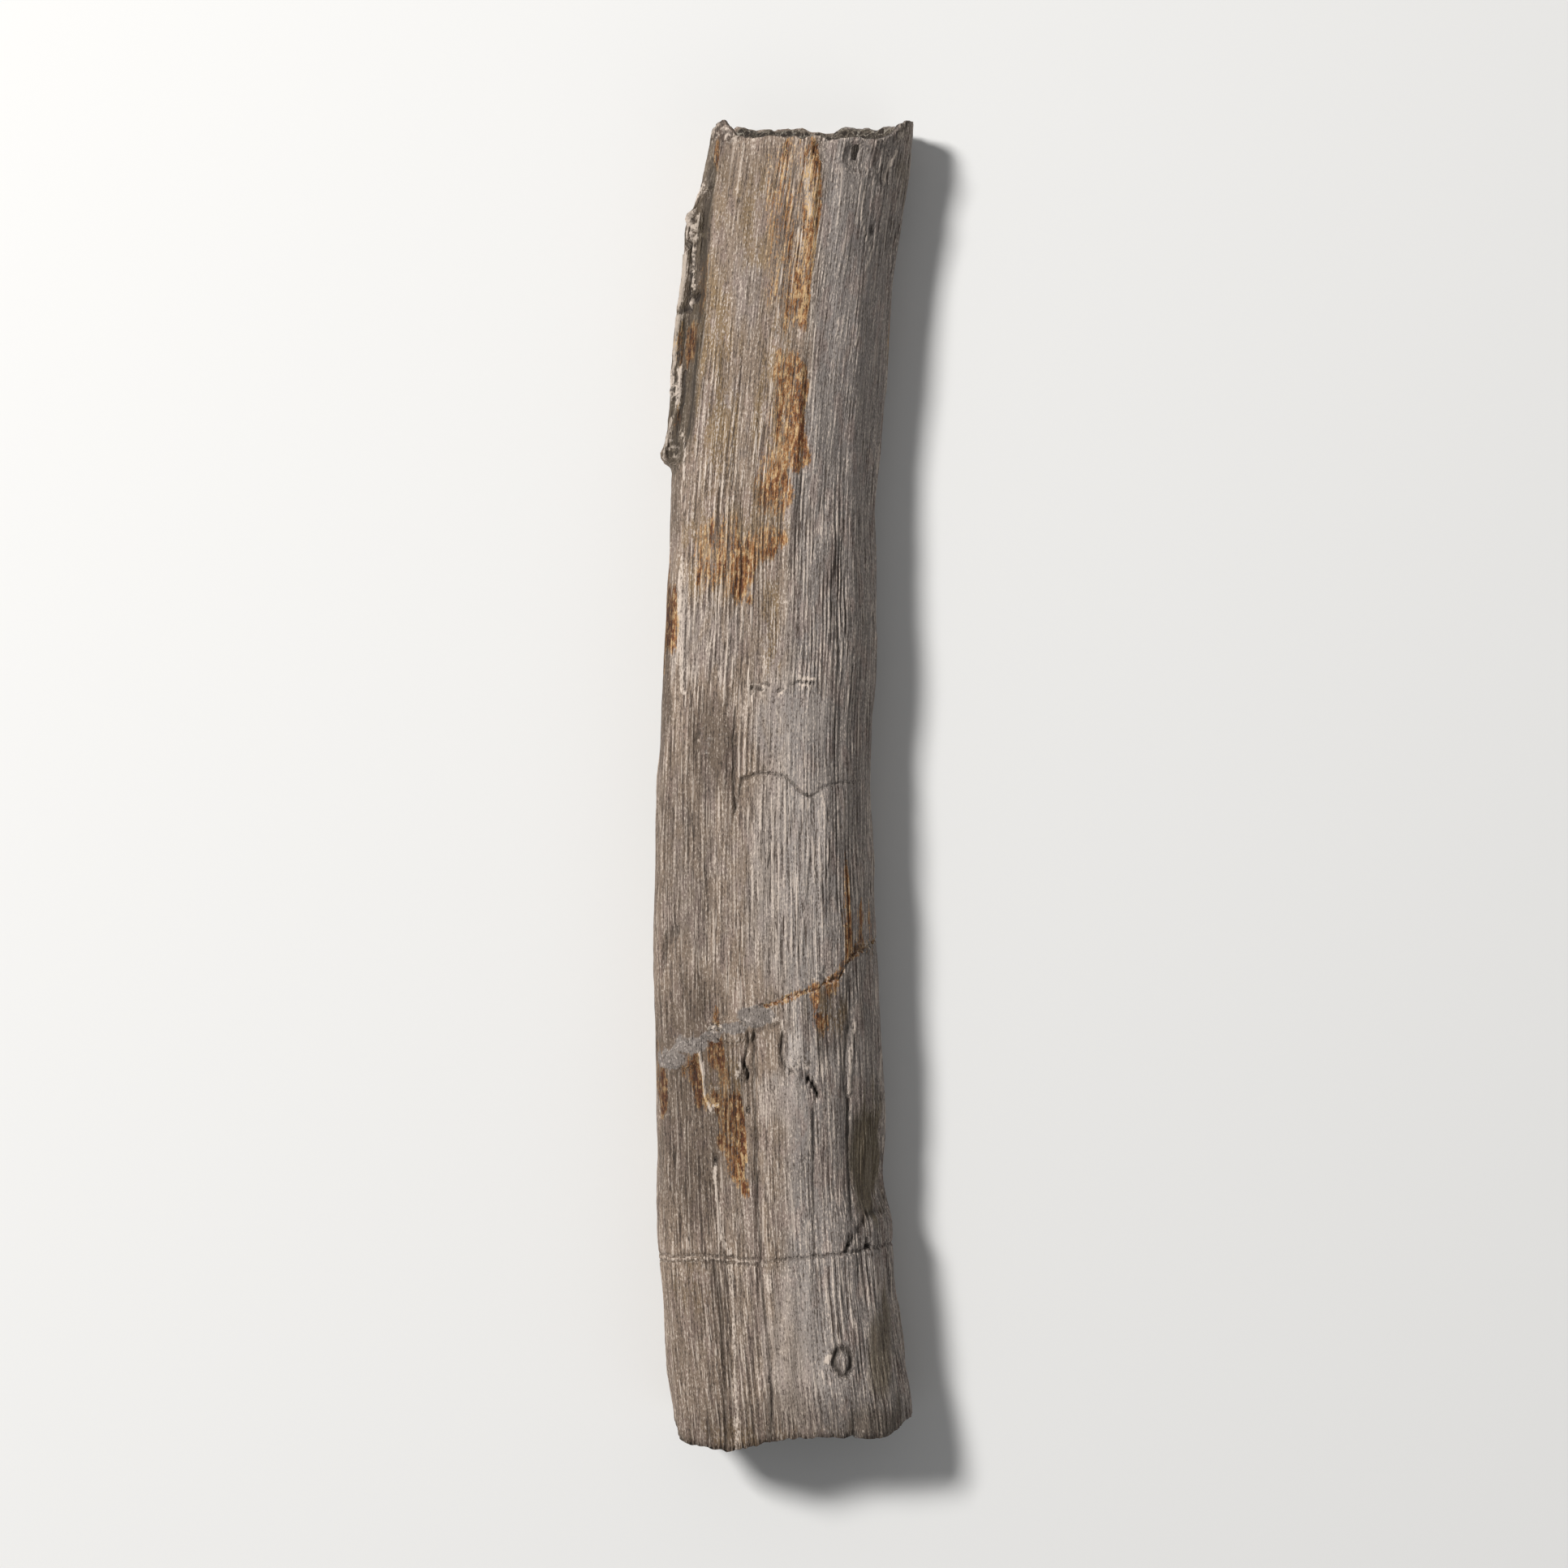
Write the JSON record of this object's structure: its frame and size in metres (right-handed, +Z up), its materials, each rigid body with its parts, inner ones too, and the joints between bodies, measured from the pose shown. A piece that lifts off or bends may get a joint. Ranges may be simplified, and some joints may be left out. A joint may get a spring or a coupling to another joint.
{
  "type": "fossil phytosaur rib",
  "caption": "Broken length of fossil reptile rib shaft, gently bowed, fibrous grey-tan bone with rusty stains and a glued diagonal break.",
  "frame": {"origin": "centre of the rib's footprint, on the surface that it lies on", "axes": "+Y along the shaft towards its narrower end, +X to the concave side, +Z up out of the face shown"},
  "size_m": [0.0246, 0.1252, 0.0124],
  "materials": {
    "fossil_bone": "mineralised bone, matt to faintly satin, fine lengthwise fibres, grey-tan with rust stains, cream ridges and grey filler"
  },
  "bodies": {
    "root": {"rib": "fossil_bone"}
  },
  "joints": []
}
